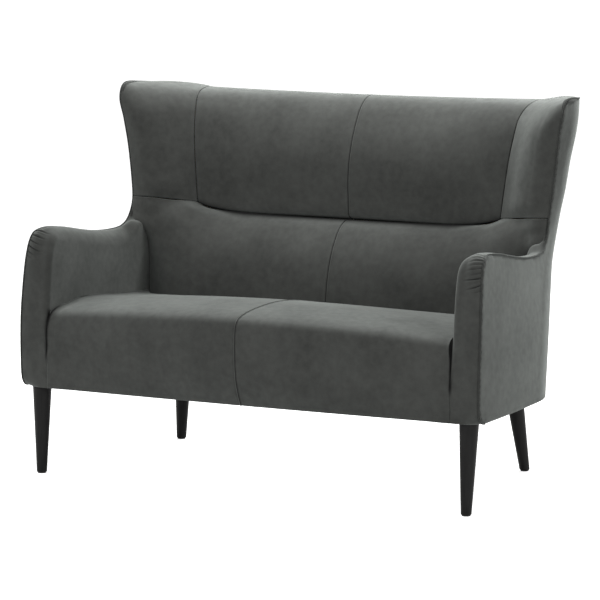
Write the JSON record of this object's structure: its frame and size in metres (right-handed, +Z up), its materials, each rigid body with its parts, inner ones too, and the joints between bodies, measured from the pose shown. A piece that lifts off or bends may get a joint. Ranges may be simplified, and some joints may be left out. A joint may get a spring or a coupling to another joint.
{
  "type": "two-seater sofa",
  "caption": "Two-seater upholstered sofa with a winged back, low sloping arms, a crowned fixed seat and tapered round legs.",
  "frame": {"origin": "on the floor under the middle of the sofa, at the centre of its box", "axes": "+Z up, the seat faces -Y, +X to the right as seen from the front"},
  "size_m": [1.33, 0.8569, 1.007],
  "materials": {
    "leg_wood": "satin black stain",
    "velvet": "dark grey velvet",
    "frame_timber": "planed softwood",
    "frame_ply": "birch plywood",
    "webbing": "woven elastic",
    "seat_cloth": "plain weave",
    "dust_cloth": "black non-woven",
    "steel": "zinc plated",
    "glide": "matt black nylon"
  },
  "bodies": {
    "root": {"front_legs": "leg_wood", "rear_legs": "leg_wood", "leg_glides": "glide", "leg_bolts": "steel", "leg_plates": "steel", "front_rail": "frame_timber", "rear_rail": "frame_timber", "left_side_rail": "frame_timber", "right_side_rail": "frame_timber", "left_rear_leg_block": "frame_timber", "right_rear_leg_block": "frame_timber", "left_deck_rail": "frame_timber", "right_deck_rail": "frame_timber", "rear_deck_rail": "frame_timber", "centre_rail": "frame_timber", "corner_blocks": "frame_timber", "left_back_upright": "frame_ply", "right_back_upright": "frame_ply", "centre_upright": "frame_ply", "back_mid_rail": "frame_timber", "back_top_rail": "frame_timber", "left_arm_side": "frame_ply", "right_arm_side": "frame_ply", "left_arm_post": "frame_timber", "right_arm_post": "frame_timber", "left_arm_top_rail": "frame_timber", "right_arm_top_rail": "frame_timber", "left_wing_board": "frame_ply", "right_wing_board": "frame_ply", "seat_webbing_long": "webbing", "seat_webbing_cross": "webbing", "seat_cloth": "seat_cloth", "back_webbing": "webbing", "dust_cloth": "dust_cloth", "seat_pad": "velvet", "lower_back_pad": "velvet", "upper_back_pad": "velvet", "left_arm_pad": "velvet", "right_arm_pad": "velvet", "left_wing_pad": "velvet", "right_wing_pad": "velvet", "left_side_panel": "velvet", "right_side_panel": "velvet", "back_panel": "velvet"}
  },
  "joints": []
}
